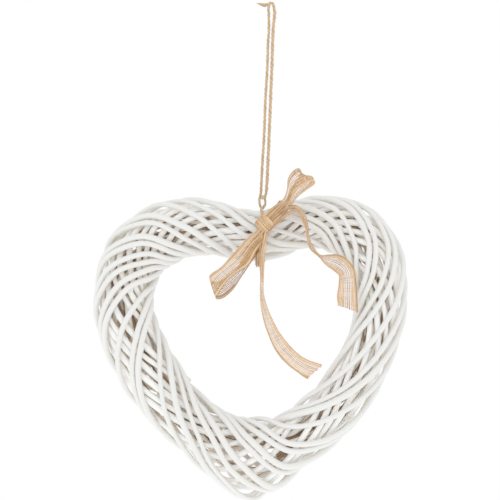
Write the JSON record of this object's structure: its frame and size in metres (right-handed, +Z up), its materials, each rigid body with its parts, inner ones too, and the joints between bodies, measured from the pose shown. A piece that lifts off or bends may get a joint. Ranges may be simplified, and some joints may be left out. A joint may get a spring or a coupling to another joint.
{
  "type": "wicker heart wall decoration",
  "caption": "Heart-shaped ring of wound white willow rods with a jute ribbon bow and a twine hanger, hung flat on a wall.",
  "frame": {"origin": "the nail's place, in the top of the hanging twine, in the middle plane of the wicker ring", "axes": "+Z up towards the nail and away from the heart's point, the front with the bow faces -Y, +X to the right as seen from the front"},
  "size_m": [0.2992, 0.0844, 0.4776],
  "materials": {
    "painted_willow": "thin matt white paint over bark, a little dulled",
    "sheltered_willow": "the same thin white paint, cleaner where the outer rods shelter it",
    "bare_willow": "dry brown bark that the paint reached only in patches",
    "jute_twine": "natural three-ply jute twine",
    "jute_ribbon": "open-weave natural jute ribbon"
  },
  "bodies": {
    "root": {"willow_rod_01": "painted_willow", "willow_rod_02": "painted_willow", "willow_rod_03": "painted_willow", "willow_rod_04": "painted_willow", "willow_rod_05": "painted_willow", "willow_rod_06": "painted_willow", "willow_rod_07": "painted_willow", "willow_rod_08": "painted_willow", "willow_rod_09": "painted_willow", "willow_rod_10": "painted_willow", "willow_rod_11": "painted_willow", "willow_rod_12": "painted_willow", "willow_rod_13": "sheltered_willow", "willow_rod_14": "sheltered_willow", "willow_rod_15": "sheltered_willow", "willow_rod_16": "sheltered_willow", "willow_rod_17": "sheltered_willow", "willow_rod_18": "sheltered_willow", "willow_rod_19": "sheltered_willow", "willow_rod_20": "sheltered_willow", "willow_rod_21": "sheltered_willow", "willow_rod_22": "sheltered_willow", "willow_rod_23": "sheltered_willow", "willow_rod_24": "bare_willow", "willow_rod_25": "bare_willow", "willow_rod_26": "bare_willow", "willow_rod_27": "bare_willow", "willow_rod_28": "bare_willow", "willow_rod_29": "bare_willow", "hanging_twine_left": "jute_twine", "hanging_twine_right": "jute_twine", "twine_top_knot": "jute_twine", "twine_tie": "jute_twine", "jute_ribbon_bow": "jute_ribbon"}
  },
  "joints": []
}
